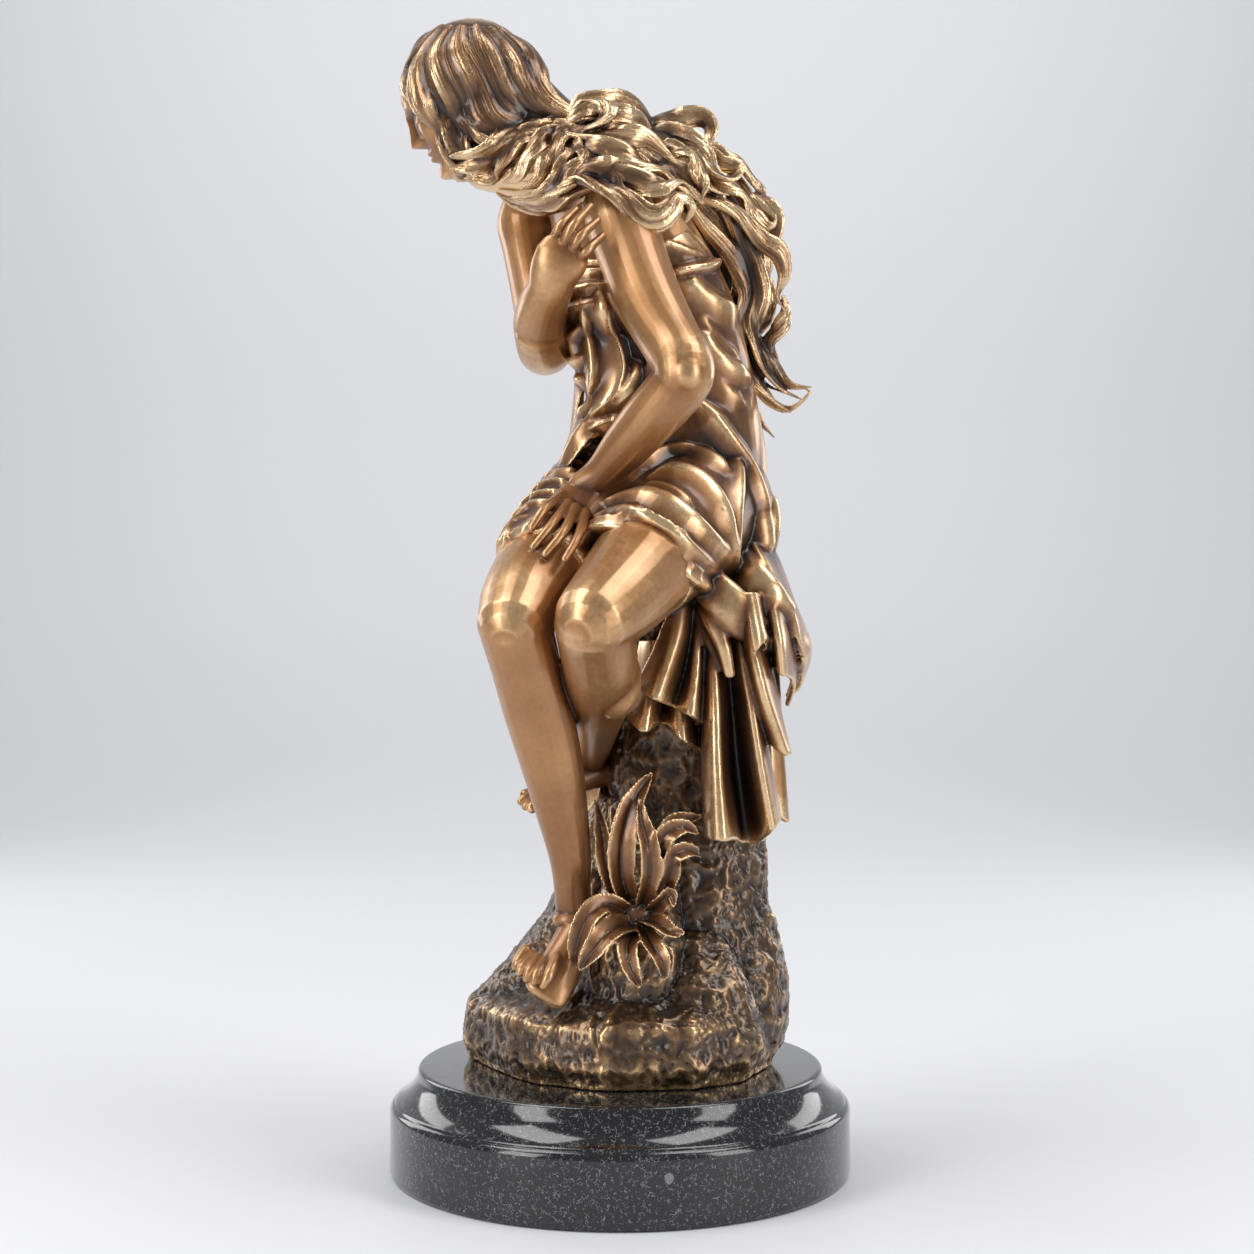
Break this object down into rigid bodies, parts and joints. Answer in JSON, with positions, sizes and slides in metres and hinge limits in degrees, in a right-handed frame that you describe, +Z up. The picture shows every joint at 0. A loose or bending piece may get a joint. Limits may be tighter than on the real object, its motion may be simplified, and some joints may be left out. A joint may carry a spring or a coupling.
{
  "type": "bronze figure on a marble plinth",
  "caption": "Cast bronze of a young woman in a draped dress, seated on a hewn rock with her head bowed and long loose hair, fixed on a round turned plinth of polished black marble.",
  "frame": {"origin": "centre of the plinth's flat underside, which stands on the table", "axes": "+Z up; -Y towards the viewer of the picture, who sees the woman's left side; -X the way her head leans; +X behind her back"},
  "size_m": [0.2003, 0.2074, 0.5022],
  "materials": {
    "bronze": "golden-brown satin patina, dark brown in the hollows and rubbed bright on the edges",
    "marble": "polished black, with fine white flecks and a few pale blotches"
  },
  "bodies": {
    "root": {"bronze_figure": "bronze", "marble_plinth": "marble"}
  },
  "joints": []
}
